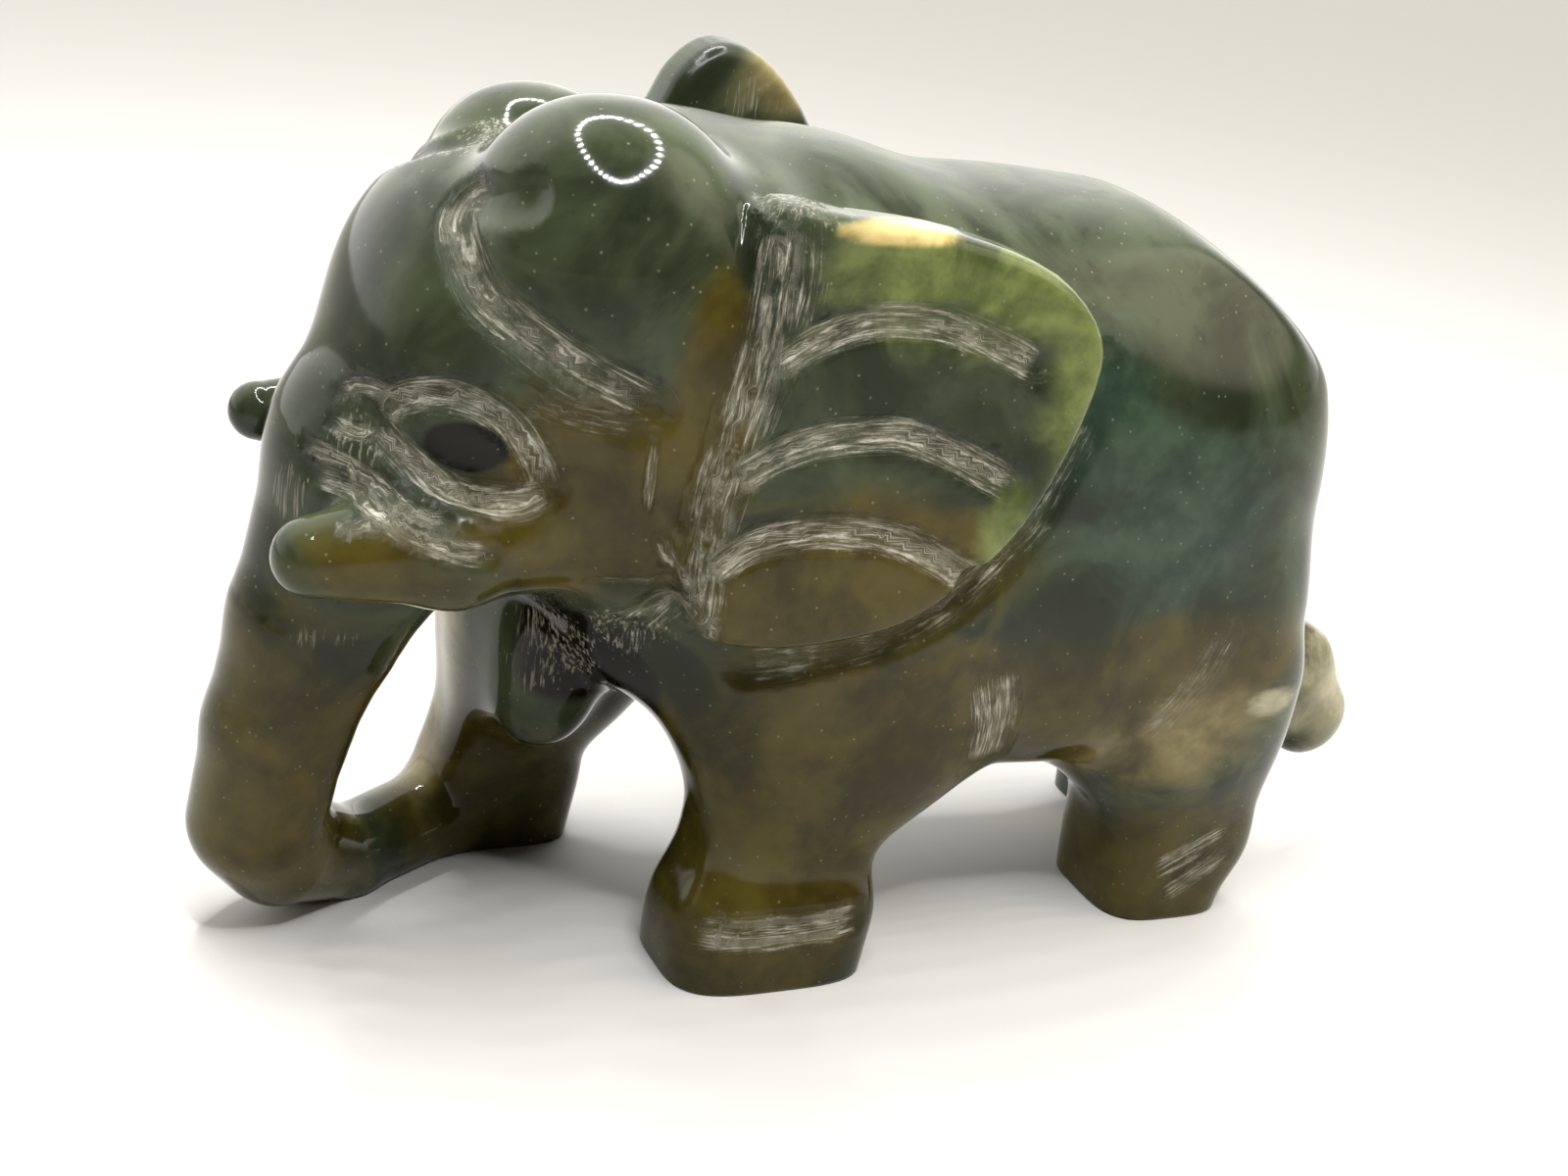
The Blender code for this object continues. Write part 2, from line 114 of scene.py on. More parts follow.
# Legs: height, middle along X, middle along Y, half length along X, half width along Y at each level
LEGS = {
    "near fore leg": ((-2.0, -4.6, -6.1, 4.6, 3.4), (1.0, -4.6, -6.1, 4.9, 3.6), (3.0, -4.4, -6.1, 4.9, 3.5),
                      (5.4, -4.0, -5.8, 4.4, 3.0), (8.4, -2.8, -5.6, 5.3, 3.1), (14.0, -1.6, -5.2, 6.4, 3.6)),
    "far fore leg": ((-2.0, -13.3, 7.3, 3.6, 2.5), (1.0, -13.2, 7.3, 3.9, 2.7), (3.0, -13.1, 7.0, 3.9, 2.8),
                     (6.0, -12.9, 6.3, 3.6, 3.0), (10.0, -12.2, 5.6, 4.0, 3.3), (14.0, -11.5, 5.2, 4.8, 3.4)),
    "near hind leg": ((-2.0, 17.7, -4.0, 3.3, 3.4), (1.0, 17.8, -4.0, 3.6, 3.6), (3.0, 18.2, -4.0, 4.1, 3.7),
                      (6.0, 18.2, -4.0, 4.2, 3.7), (10.0, 17.8, -4.2, 4.6, 3.8), (14.0, 17.2, -4.2, 5.0, 3.9)),
    "far hind leg": ((-2.0, 22.2, 4.6, 3.2, 2.7), (1.0, 22.2, 4.6, 3.4, 2.8), (3.0, 22.2, 4.6, 3.5, 2.8),
                     (6.0, 22.0, 4.6, 3.4, 2.8), (10.0, 20.8, 4.6, 3.6, 3.1), (14.0, 18.8, 4.6, 4.4, 3.6)),
}
LEG_SQUARENESS = 3.6
LEG_TOP = 2.0             # shares, how softly a leg ends inside the body
LEG_BLEND = 2.2           # shares, how softly a leg flows into the body

# Ears: outline seen from the side, distance of the outer face from the middle, half thickness, lean, flare
EARS = {
    "near ear": (((-12.6, 20.0), (-9.6, 18.0), (-3.4, 18.6), (0.3, 20.9), (2.9, 24.0), (4.6, 28.5),
                  (4.6, 31.3), (2.2, 33.7), (-2.1, 35.1), (-7.0, 35.7), (-10.8, 35.5), (-11.6, 28.0)),
                 -9.6, 1.5, 0.06, 0.03),
    "far ear": (((-12.2, 21.0), (-8.0, 18.8), (-3.4, 19.4), (0.0, 22.0), (1.6, 26.0), (2.0, 31.0),
                 (0.4, 34.6), (-2.0, 37.3), (-4.6, 38.2), (-6.6, 37.0), (-8.0, 34.6), (-11.6, 30.0)),
                9.8, 1.5, -0.06, 0.10),
}
EAR_FRONT = -11.0         # shares, X and height at which an ear lies at its stated distance from the middle
EAR_MIDDLE = 28.0
EAR_EDGE = 0.9            # shares, how softly the ear's face turns into its edge
EAR_BLEND = 0.5           # shares, how softly an ear flows into the head

# Flat facets ground on the body: a point on the facet, the way it faces, how soft its edges are
FACETS = {
    "croup": ((16.2, 0.0, 32.1), (0.60, 0.0, 0.80), 1.2),
    "near back": ((2.0, -5.6, 34.8), (0.05, -0.62, 0.78), 1.0),
    "near loin": ((11.0, -8.0, 30.3), (0.17, -0.80, 0.56), 0.35),
    "far loin": ((11.0, 8.0, 30.3), (0.17, 0.80, 0.56), 0.35),
}

# Wheel grooves in the side view: points of the line, width and depth in wheel marks, on both sides or not
OUTSIDE = 14.0            # shares, a distance from the middle plane that lies clear of the body
MARCH = 0.25              # shares, step inwards from there in search of the skin
WHEEL_WIDTH = 2.0         # shares, the mark that the wheel leaves
WHEEL_DEPTH = 0.30        # shares, depth of an ordinary wheel mark
GROOVES = {
    "dome": (((-19.6, 35.4), (-20.6, 34.8), (-21.2, 33.8), (-21.2, 32.5), (-20.6, 31.3), (-18.6, 30.0),
              (-16.6, 28.9), (-14.5, 27.9)), 1.35, 2.0, True),
    "brow": (((-18.9, 27.9), (-16.9, 27.2), (-14.8, 27.1)), 1.1, 0.9, True),
    "ear root": (((-10.4, 35.3), (-10.4, 33.5), (-10.6, 30.6), (-11.3, 27.0), (-12.1, 23.3), (-12.1, 19.6),
                  (-12.9, 17.0)), 1.45, 1.4, True),
    "upper lid": (((-23.9, 25.8), (-23.0, 26.9), (-21.4, 27.4), (-19.6, 26.7), (-18.4, 25.2),
                   (-17.7, 23.9)), 1.0, 1.2, True),
    "lower lid": (((-23.9, 25.6), (-22.4, 24.2), (-20.5, 23.6), (-18.8, 23.4), (-17.7, 23.9)), 0.95, 1.2, True),
    "upper wrinkle": (((-26.0, 23.9), (-24.9, 23.8), (-23.3, 23.1), (-22.0, 22.9)), 0.55, 0.8, True),
    "lower wrinkle": (((-25.8, 22.9), (-24.5, 22.9), (-23.3, 22.4), (-21.7, 21.9), (-20.2, 21.6)),
                      0.75, 1.0, True),
    "upper ear": (((-10.0, 29.9), (-8.5, 30.9), (-6.5, 31.7), (-4.4, 31.9), (-2.2, 31.6), (1.6, 30.1)),
                  1.05, 1.2, True),
    "middle ear": (((-11.2, 25.3), (-9.6, 26.3), (-7.5, 27.0), (-5.4, 27.2), (-3.2, 27.0), (1.2, 25.0)),
                   1.05, 1.2, True),
    "lower ear": (((-12.0, 21.3), (-10.3, 22.5), (-8.3, 23.0), (-6.2, 23.1), (-3.4, 22.6), (0.6, 20.6)),
                  1.05, 1.2, True),
    "ear shadow": (((6.2, 29.2), (5.5, 26.7), (4.5, 24.5), (3.5, 22.3), (1.8, 20.4), (-0.4, 18.8),
                    (-2.9, 17.6), (-5.8, 16.8), (-8.5, 16.1)), 1.35, 1.6, True),
    "fore foot": (((-8.4, 3.0), (-1.4, 3.0)), 0.9, 0.7, False),
}


def smooth_run(at, knots):
    """Values of a smooth curve through the knots (position, value, value, ...) at the given positions."""
    knots = np.asarray(knots, float)
    where = knots[:, 0]
    values = knots[:, 1:]
    slope = np.gradient(values, where, axis=0)
    i = np.clip(np.searchsorted(where, at) - 1, 0, len(where) - 2)
    step = where[i + 1] - where[i]
    t = np.clip((at - where[i]) / step, 0.0, 1.0)[:, None]
    step = step[:, None]
    return ((2*t**3 - 3*t**2 + 1) * values[i] + (t**3 - 2*t**2 + t) * step * slope[i]
            + (3*t**2 - 2*t**3) * values[i + 1] + (t**3 - t**2) * step * slope[i + 1])


def blend(a, b, soft):
    """Join two forms with a soft fillet."""
    if soft == 0.0:
        return np.minimum(a, b)
    near = np.maximum(soft - np.abs(a - b), 0.0) / soft
    return np.minimum(a, b) - near**2 * soft / 4.0


def shave(a, b, soft):
    """Keep what is inside both forms, with a soft edge."""
    return -blend(-a, -b, soft)


def mass_form(p, centre, radii, squareness):
    """A rounded mass, near its skin as a distance."""
    q = np.abs((p - centre) / np.array(radii)) + 1e-6
    k = (q**squareness).sum(1) ** (1.0 / squareness)
    slope = q ** (squareness - 1.0) * k[:, None] ** (1.0 - squareness) / radii
    return (k - 1.0) / np.sqrt((slope**2).sum(1))


def limb_form(p, path, radii, flat):
    """A round limb that tapers along its path."""
    stretch = np.array((1.0, 1.0 / flat, 1.0))
    q = p * stretch
    path = np.array(path) * stretch
    form = np.full(len(p), 1e3)
    for a, b, r, s in zip(path[:-1], path[1:], radii[:-1], radii[1:]):
        t = np.clip((q - a) @ (b - a) / ((b - a) @ (b - a)), 0.0, 1.0)
        gap = np.sqrt(((q - a - t[:, None] * (b - a)) ** 2).sum(1)) - r - t * (s - r)
        form = blend(form, gap * flat, LIMB_BEND)
    return form


def leg_form(p, levels):
    """A squared leg, drawn through its levels."""
    x, y, length, width = smooth_run(p[:, 2], levels).T
    k = (np.abs((p[:, 0] - x) / length) ** LEG_SQUARENESS
         + np.abs((p[:, 1] - y) / width) ** LEG_SQUARENESS) ** (1.0 / LEG_SQUARENESS)
    side = (k - 1.0) * np.minimum(length, width)
    return shave(side, p[:, 2] - levels[-1][0], LEG_TOP)


def smooth_line(points, closed, steps=4):
    """A smooth line through the points."""
    points = np.array(points)
    last = len(points) - 1
    curve = []
    for i in range(last + closed):
        around = [(i + j) % (last + 1) if closed else min(max(i + j, 0), last) for j in (-1, 0, 1, 2)]
        a, b, c, d = points[around]
        for t in np.arange(steps) / steps:
            curve.append(0.5 * (2*b + (c - a)*t + (2*a - 5*b + 4*c - d)*t**2 + (3*b - 3*c + d - a)*t**3))
    return np.array(curve if closed else [*curve, points[last]])


def outline_distance(q, outline):
    """Distance to a closed line in the side view, below zero inside it."""
    gap = np.full(len(q), 1e6)
    inside = np.zeros(len(q), bool)
    for a, b in zip(outline, np.roll(outline, -1, axis=0)):
        t = np.clip((q - a) @ (b - a) / ((b - a) @ (b - a)), 0.0, 1.0)
        gap = np.minimum(gap, ((q - a - t[:, None] * (b - a)) ** 2).sum(1))
        crosses = (a[1] > q[:, 1]) != (b[1] > q[:, 1])
        at = a[0] + (q[:, 1] - a[1]) * (b[0] - a[0]) / (b[1] - a[1] if b[1] != a[1] else 1e-9)
        inside ^= crosses & (q[:, 0] < at)
    gap = np.sqrt(gap)
    return np.where(inside, -gap, gap)


def ear_middle(x, z, face, lean, flare):
    """Distance from the carving's middle plane to the middle of the ear's thickness."""
    return face + math.copysign(1.0, face) * (flare * (x - EAR_FRONT) - lean * (z - EAR_MIDDLE))


def ear_form(p, outline, face, half, lean, flare):
    """A flat ear with a rounded edge, standing out from the head."""
    edge = outline_distance(p[:, [0, 2]], smooth_line(outline, True))
    flat = np.abs(p[:, 1] - ear_middle(p[:, 0], p[:, 2], face, lean, flare)) - half
    return shave(edge, flat, EAR_EDGE)


def bare_form(p):
    """The carving before the wheel grooves are cut: below zero inside the stone, in shares of the height."""
    form = np.full(len(p), 1e3)
    for mass in BODY.values():
        form = blend(form, mass_form(p, *mass[:3]), mass[3])
    for point, way, soft in FACETS.values():
        form = shave(form, (p - point) @ way / np.linalg.norm(way), soft)
    for mass in HEAD.values():
        form = blend(form, mass_form(p, *mass[:3]), mass[3])
    for levels in LEGS.values():
        form = blend(form, leg_form(p, levels), LEG_BLEND)
    for path, radii, flat, soft in LIMBS.values():
        form = blend(form, limb_form(p, path, radii, flat), soft)
    for outline, face, half, lean, flare in EARS.values():
        form = blend(form, ear_form(p, outline, face, half, lean, flare), EAR_BLEND)
    return form


def laid_line(points, side):
    """A line drawn in the side view, laid on the near (-1) or the far (1) skin of the carving."""
    line = smooth_line(points, False)
    depths = side * np.arange(OUTSIDE, 0.0, -MARCH)
    p = np.array([(x, y, z) for x, z in line for y in depths])
    form = bare_form(p).reshape(len(line), len(depths))
    first = np.maximum((form < 0.0).argmax(1), 1)
    row = np.arange(len(line))
    before = form[row, first - 1]
    after = form[row, first]
    y = depths[first - 1] + (depths[first] - depths[first - 1]) * before / (before - after)
    return np.column_stack([line[:, 0], y, line[:, 1]])


def laid_grooves(grooves):
    """Every groove's line on the skin, with its width and depth."""
    return [(laid_line(points, side), width, depth)
            for points, width, depth, both in grooves.values()
            for side in ((-1, 1) if both else (-1,))]


# Shallow scratches that only break the polish, drawn as the grooves are
SCRATCHES = {
    "upper stub": (((-24.9, 26.1), (-24.2, 26.7), (-23.4, 26.8)), 0.55, 0.3, True),
    "lower stub": (((-25.2, 25.1), (-24.4, 25.0), (-23.7, 25.3)), 0.55, 0.3, True),
    "tusk root": (((-25.2, 22.2), (-24.3, 22.5), (-22.6, 22.4), (-20.4, 21.7)), 0.6, 0.3, True),
    "cheek": (((-14.3, 26.5), (-14.2, 23.6)), 0.30, 0.1, False),
    "jaw edge": (((-15.4, 19.8), (-13.8, 20.3), (-12.6, 20.6)), 0.4, 0.2, True),
    "root end": (((-13.6, 22.6), (-12.2, 20.2), (-10.6, 17.8)), 0.5, 0.3, False),
    "elbow": (((3.0, 15.4), (3.7, 13.2), (4.0, 10.8)), 1.6, 0.1, False),
    "hip": (((15.4, 16.4), (14.3, 14.0), (12.6, 11.4)), 1.2, 0.05, False),
    "hind foot upper": (((16.0, 2.8), (19.6, 4.8)), 0.95, 0.15, False),
    "hind foot lower": (((16.8, 1.4), (20.0, 3.5)), 0.8, 0.15, False),
    "root band": (((-9.9, 35.6), (-9.7, 32.8), (-10.4, 29.2), (-11.4, 25.4), (-12.2, 21.5)), 1.9, 0.04, False),
    "dome flat": (((-20.2, 30.6), (-17.9, 29.0), (-15.4, 27.6)), 1.8, 0.04, False),
    "foot band": (((-8.8, 3.0), (-1.0, 3.1)), 1.15, 0.04, False),
}

# How white each mark's bloom is and how far along the mark it starts, where it isn't full from the first point
BLOOM = {
    "dome": (0.95, 2.8), "ear root": (0.88, 0.0), "brow": (0.75, 0.0), "ear shadow": (0.72, 2.0),
    "hip": (0.75, 0.0), "jaw edge": (0.7, 0.0), "tusk root": (0.8, 0.0), "root band": (0.68, 0.0),
    "dome flat": (0.72, 0.0),
}
FADE = 1.2                # shares, over which a bloom dies away at its ends
END_BLOOM = 0.5           # share of the bloom that is left at the very end
BLOOM_GAIN = 1.35         # more than 1, so that the bloom is full over the middle of the mark
MARK_SPACING = 7.0        # keeps the strokes of one mark from repeating in the next
ALL_MARKS = {**GROOVES, **SCRATCHES}
MARKS = laid_grooves(ALL_MARKS)
MARK_BLOOM = [BLOOM.get(name, (1.0, 0.0)) for name, mark in ALL_MARKS.items() for _ in range(1 + mark[3])]


def wheel_run(p, line):
    """Square of the distance to a mark's line, and the place across and along it."""
    gap = np.full(len(p), 1e6)
    side = np.zeros(len(p))
    along = np.zeros(len(p))
    start = 0.0
    for a, b in zip(line[:-1], line[1:]):
        way = b - a
        length = np.linalg.norm(way)
        t = np.clip((p - a) @ way / length**2, 0.0, 1.0)
        off = p - a - t[:, None] * way
        here = (off**2).sum(1)
        nearer = here < gap
        gap = np.where(nearer, here, gap)
        along = np.where(nearer, start + t * length, along)
        side = np.where(nearer, np.sign(way[0] * off[:, 2] - way[2] * off[:, 0]), side)
        start += length
    return gap, np.sqrt(gap) * side, along


def wheel_marks(p):
    """Depth of the wheel marks at each point, their bloom there, and the place across and along the mark."""
    cut = np.zeros(len(p))
    bloom = np.zeros(len(p))
    run = np.zeros((len(p), 3))
    for number, ((line, width, depth), (white, start)) in enumerate(zip(MARKS, MARK_BLOOM)):
        reach = width * WHEEL_WIDTH / 2.0
        near = np.flatnonzero(((p > line.min(0) - reach) & (p < line.max(0) + reach)).all(1))
        gap, across, along = wheel_run(p[near], line)
        profile = np.clip(1.0 - gap / reach**2, 0.0, 1.0) ** 2
        cut[near] = np.maximum(cut[near], depth * WHEEL_DEPTH * profile)
        length = np.linalg.norm(np.diff(line, axis=0), axis=1).sum()
        ends = np.clip(np.minimum(along - start, length - along) / FADE + END_BLOOM, 0.0, 1.0)
        here = white * ends * np.clip(BLOOM_GAIN * np.sqrt(profile), 0.0, 1.0)
        whiter = here > bloom[near]
        spot = near[whiter]
        bloom[spot] = here[whiter]
        run[spot] = np.stack([across[whiter], along[whiter], np.full(whiter.sum(), MARK_SPACING * number)], 1)
    return cut, bloom, run


def stone_form(p):
    """The whole carving with its wheel marks: below zero inside the stone, in shares."""
    return bare_form(p) + wheel_marks(p)[0]


SLOPE_STEP = 0.02         # shares, between the points that a slope is read from
LONGEST_GRIND = 0.4       # shares, the most that one grind moves a point
LEAST_SLOPE = 0.05        # keeps a point where the form is nearly level from being thrown far


def slope_of(p, here):
    """The way out of the stone at each point."""
    return np.stack([stone_form(p + SLOPE_STEP * axis) - here for axis in np.eye(3)], 1) / SLOPE_STEP


def grind(p, passes):
    """Bring points onto the finished form, a little at a time."""
    for _ in range(passes):
        here = stone_form(p)
        slope = slope_of(p, here)
        size = np.sqrt(np.maximum((slope**2).sum(1), LEAST_SLOPE))
        p = p - slope * (np.clip(here / size, -LONGEST_GRIND, LONGEST_GRIND) / size)[:, None]
    return p


# Where the stone changes colour, where shade is painted, and where fine scratches dull it: middle and reach of
# each patch, in shares
PATCHES = {
    "slate": (((12.0, -9.5, 22.5), (7.5, 4.0, 6.0)), ((6.5, -10.0, 27.0), (4.0, 3.0, 6.0)),
              ((22.0, -4.0, 20.0), (4.0, 6.0, 6.0)), ((4.0, 9.0, 24.0), (16.0, 4.0, 7.0))),
    "olive": (((-15.5, -8.5, 23.5), (6.5, 6.0, 5.0)), ((-5.0, -11.0, 20.5), (9.5, 4.0, 4.6)),
              ((2.0, -8.0, 12.0), (16.0, 8.0, 6.6)), ((-4.5, -6.0, 5.0), (8.5, 7.0, 11.0)),
              ((13.0, -9.0, 14.8), (9.0, 4.0, 3.6)), ((-12.0, -9.6, 28.5), (2.0, 3.0, 6.0)),
              ((-25.5, 0.0, 8.0), (6.0, 7.0, 11.0)), ((-13.0, 5.0, 5.0), (8.0, 7.0, 9.0)),
              ((18.5, -4.0, 3.0), (7.0, 8.0, 6.0)), ((4.0, 9.0, 13.0), (20.0, 8.0, 6.5)),
              ((-14.0, 8.0, 24.0), (7.0, 5.0, 6.0)), ((-22.0, -7.0, 20.6), (5.5, 2.6, 2.1))),
    "apple": (((-2.0, -11.0, 33.0), (8.5, 3.0, 3.4)), ((3.6, -11.0, 28.0), (2.4, 3.0, 6.5)),
              ((1.6, -11.4, 23.4), (2.0, 2.0, 3.0))),
    "cream": (((-4.2, -10.9, 35.3), (4.0, 2.0, 0.55)),),
    # dark: the pupils, darker than the stone around them, and near-black painted shade on the chest under the
    # jaw
    "dark": (((-20.9, -7.3, 25.4), (1.9, 2.0, 1.1)), ((-20.9, 7.3, 25.4), (1.9, 2.0, 1.1)),
             ((-12.9, -3.6, 14.6), (4.4, 3.6, 4.2))),
    "pale": (((15.0, -8.0, 10.8), (5.5, 4.0, 4.0)), ((-17.4, 6.0, 8.5), (1.6, 5.0, 8.0)),
             ((-24.5, 3.2, 1.4), (3.0, 2.6, 1.6)), ((-1.2, 10.5, 36.8), (3.8, 3.2, 2.4))),
    "straw": (((30.0, 0.0, 9.0), (5.0, 5.0, 7.0)), ((19.5, -7.0, 12.6), (2.6, 3.0, 1.0))),
    "scratched": (((-19.0, 0.0, 35.6), (2.8, 2.8, 1.5)), ((-12.8, -6.4, 16.8), (2.8, 3.0, 2.4)),
                  ((-14.2, -3.2, 14.8), (3.0, 3.6, 3.6)), ((-26.6, -2.4, 22.0), (1.2, 2.0, 2.0)),
                  ((-24.6, -4.4, 24.6), (1.6, 2.2, 1.8)), ((27.0, -1.4, 10.6), (1.5, 2.2, 2.2)),
                  ((-2.6, 8.2, 36.0), (3.4, 2.2, 2.6)), ((-9.2, -8.8, 35.2), (2.2, 2.4, 2.0)),
                  ((-24.6, -3.0, 15.6), (2.2, 1.6, 1.2)), ((-9.9, -10.4, 31.5), (1.6, 1.6, 3.0))),
    "satin": (((4.0, -1.0, 35.5), (15.0, 7.0, 3.6)), ((-3.0, 10.5, 36.5), (6.0, 4.0, 4.0)),
              ((-9.0, -1.0, 37.0), (5.0, 5.0, 2.4))),
}


def patch_depth(p, patches):
    """How far inside a patch each point is: 1 in its middle, 0 at its edge, and below zero outside."""
    return np.max([1.0 - np.sqrt((((p - middle) / np.array(reach)) ** 2).sum(1))
                   for middle, reach in patches], 0)


def coordinates(mesh):
    """The places of a mesh's points, one row each."""
    flat = np.empty(len(mesh.vertices) * 3)
    mesh.vertices.foreach_get("co", flat)
    return flat.reshape(-1, 3)


ON_SOLE = 0.01            # shares above the floor, under which a point belongs to a flat sole


def fine_surface():
    """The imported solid, cut into a fine skin and ground onto the finished form."""
    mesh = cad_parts["elephant"].data.copy()
    mesh.materials.clear()
    shift = Matrix.Translation((MIDDLE[0], MIDDLE[1], 0.0)) @ Matrix.Scale(1.0 / SHARE, 4)
    mesh.transform(shift)
    rough = bpy.data.objects.new("rough", mesh)
    bpy.context.scene.collection.objects.link(rough)
    remesh = rough.modifiers.new("skin", "REMESH")
    remesh.mode = "VOXEL"
    remesh.voxel_size = GRAIN
    skin = bpy.data.meshes.new_from_object(rough.evaluated_get(bpy.context.evaluated_depsgraph_get()))
    bpy.data.objects.remove(rough)
    p = grind(coordinates(skin), GRINDS)
    p[:, 2] = np.maximum(p[:, 2], 0.0)
    normals = slope_of(p, stone_form(p))
    normals /= np.linalg.norm(normals, axis=1)[:, None]
    normals[p[:, 2] < ON_SOLE] = (0.0, 0.0, -1.0)
    bloom, run = wheel_marks(p)[1:]
    skin.vertices.foreach_set("co", p.ravel())
    skin.attributes.new("bloom", "FLOAT", "POINT").data.foreach_set("value", bloom)
    skin.attributes.new("wheel_run", "FLOAT_VECTOR", "POINT").data.foreach_set("vector", run.ravel())
    # One attribute for each patch list; "dark" carries the pupils and the painted shade under the jaw
    for name, patches in PATCHES.items():
        depth = np.maximum(patch_depth(p, patches), -1.0)
        skin.attributes.new(name, "FLOAT", "POINT").data.foreach_set("value", depth)
    skin.transform(shift.inverted())
    skin.shade_smooth()
    skin.normals_split_custom_set_from_vertices(normals)
    return skin


elephant = bpy.data.objects.new("carved_elephant", fine_surface())
bpy.context.scene.collection.objects.link(elephant)
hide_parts("elephant")
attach(elephant, "root")


def paint(code):
    """A colour from its sRGB hex code, as linear light."""
    parts = [int(code[i:i + 2], 16) / 255.0 for i in (1, 3, 5)]
    return (*[v / 12.92 if v <= 0.04045 else ((v + 0.055) / 1.055) ** 2.4 for v in parts], 1.0)


def add_node(tree, kind, inputs, **settings):
    """One shader node with its settings. An input is a plain value or the socket that it is joined to."""
    node = tree.nodes.new(kind)
    for name, value in settings.items():
        setattr(node, name, value)
    for name, value in inputs.items():
        if isinstance(value, bpy.types.NodeSocket):
            tree.links.new(node.inputs[name], value)
        else:
            node.inputs[name].default_value = value
    return node


def tint(tree, under, over, amount):
    """One colour laid over another by an amount."""
    mix = add_node(tree, "ShaderNodeMix", {0: amount, 6: under, 7: over}, data_type="RGBA")
    return mix.outputs[2]


def edge_of(tree, depth, sway, ragged, low, high):
    """A patch's cover, from how deep inside it a point is. Its edge wanders with the stone's cloud."""
    moved = add_node(tree, "ShaderNodeMath", {0: sway, 1: ragged, 2: depth}, operation="MULTIPLY_ADD").outputs[0]
    cover = add_node(tree, "ShaderNodeMapRange", {"Value": moved, "From Min": low, "From Max": high},
                     interpolation_type="SMOOTHSTEP")
    return cover.outputs[0]


# The colours of the stone where it changes, and of the painted shade under the jaw: dark and light tone, how
# ragged the patch's edge is, and the depths inside the patch at which the colour starts and is full
COVERS = {
    "slate": ("#253328", "#3C4C3C", 1.6, -0.05, 0.50),
    "olive": ("#302A0D", "#4B431A", 1.0, -0.08, 0.32),
    "apple": ("#464F29", "#79824B", 1.2, 0.0, 0.75),
    "pale": ("#655C37", "#8C8159", 1.2, -0.05, 0.90),
    "straw": ("#7E7B60", "#AEA88C", 1.2, 0.0, 0.40),
    "cream": ("#75682F", "#B9A670", 1.9, 0.05, 0.60),
    # dark: near black, for the pupils and for the painted shade on the chest under the jaw
    "dark": ("#080603", "#110E06", 0.4, 0.0, 0.20),
}
DULLED_EDGE = (1.5, -0.1, 0.5)              # the same three for the scratched and the satin places
CLOUD_MM = 5.0                              # width of the stone's soft clouds
MOTTLE_MM = 1.3                             # width of its dark mottle
GRIT_MM = 0.22                              # the polish's fine unevenness, drawn coarse enough to show
FLECKS_PER_MM = 1.5                         # pale flecks, one in each 0.67 mm
STROKES_PER_MM = (9.0, 0.45, 1.0)           # the wheel's strokes, 0.11 mm wide and 2.2 mm long
HAIRS_PER_MM = (6.0, 6.0, 0.45)             # hair scratches, 0.17 mm wide and 2.2 mm long
HAIRS_TURN = (0.5, 0.7, 0.3)                # radians, the slant at which they lie


